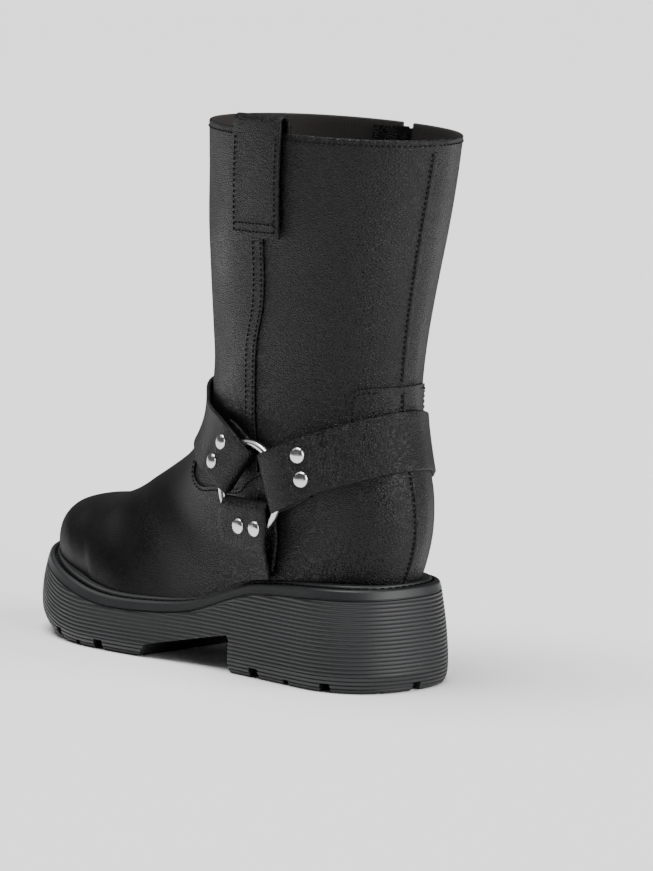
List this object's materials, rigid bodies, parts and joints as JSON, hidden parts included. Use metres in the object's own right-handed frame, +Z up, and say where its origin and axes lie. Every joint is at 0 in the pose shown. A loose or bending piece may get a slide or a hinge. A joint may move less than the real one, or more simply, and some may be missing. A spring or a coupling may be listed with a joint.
{
  "type": "biker boot",
  "caption": "Mid-calf leather biker boot with a round toe, a harness of straps joined by a ring on each side, a pull loop, an inside zip and a thick ribbed rubber sole.",
  "frame": {"origin": "on the floor under the middle of the heel block", "axes": "+Z up, -Y towards the toe, +X towards the outer side of this left boot"},
  "size_m": [0.1099, 0.2951, 0.2824],
  "materials": {
    "rubber": "satin black moulded rubber",
    "leather": "black pebble-grained leather with a soft sheen",
    "lining": "matt dark brown textile",
    "tape": "matt black woven tape",
    "chrome": "polished nickel plate"
  },
  "bodies": {
    "boot": {"outsole": "rubber", "welt": "rubber", "insole": "lining", "upper": "leather", "pull_loop": "leather", "heel_strap": "leather", "instep_strap": "leather", "stirrup_strap_lateral": "leather", "rivet_heel_lateral_1": "chrome", "rivet_heel_lateral_2": "chrome", "rivet_instep_lateral_1": "chrome", "rivet_instep_lateral_2": "chrome", "rivet_stirrup_lateral_1": "chrome", "rivet_stirrup_lateral_2": "chrome", "stirrup_strap_medial": "leather", "rivet_heel_medial_1": "chrome", "rivet_heel_medial_2": "chrome", "rivet_instep_medial_1": "chrome", "rivet_instep_medial_2": "chrome", "rivet_stirrup_medial_1": "chrome", "rivet_stirrup_medial_2": "chrome", "zip_tape": "tape", "zip_teeth": "chrome", "zip_slider": "chrome", "zip_guard": "leather"},
    "pull": {"zip_pull": "chrome"},
    "outer_ring": {"ring_lateral": "chrome"},
    "inner_ring": {"ring_medial": "chrome"}
  },
  "joints": [
    {"name": "zip_pull_swing", "type": "hinge", "parent": "boot", "child": "pull", "pos_m": [-0.05478, -0.0131, 0.26252], "axis": [0, 1, 0], "range_deg": [0, 150]},
    {"name": "outer_ring_turn", "type": "hinge", "parent": "boot", "child": "outer_ring", "pos_m": [0.03948, -0.03101, 0.09599], "axis": [1, 0, 0], "continuous": true},
    {"name": "inner_ring_turn", "type": "hinge", "parent": "boot", "child": "inner_ring", "pos_m": [-0.03948, -0.03101, 0.09599], "axis": [1, 0, 0], "continuous": true}
  ]
}
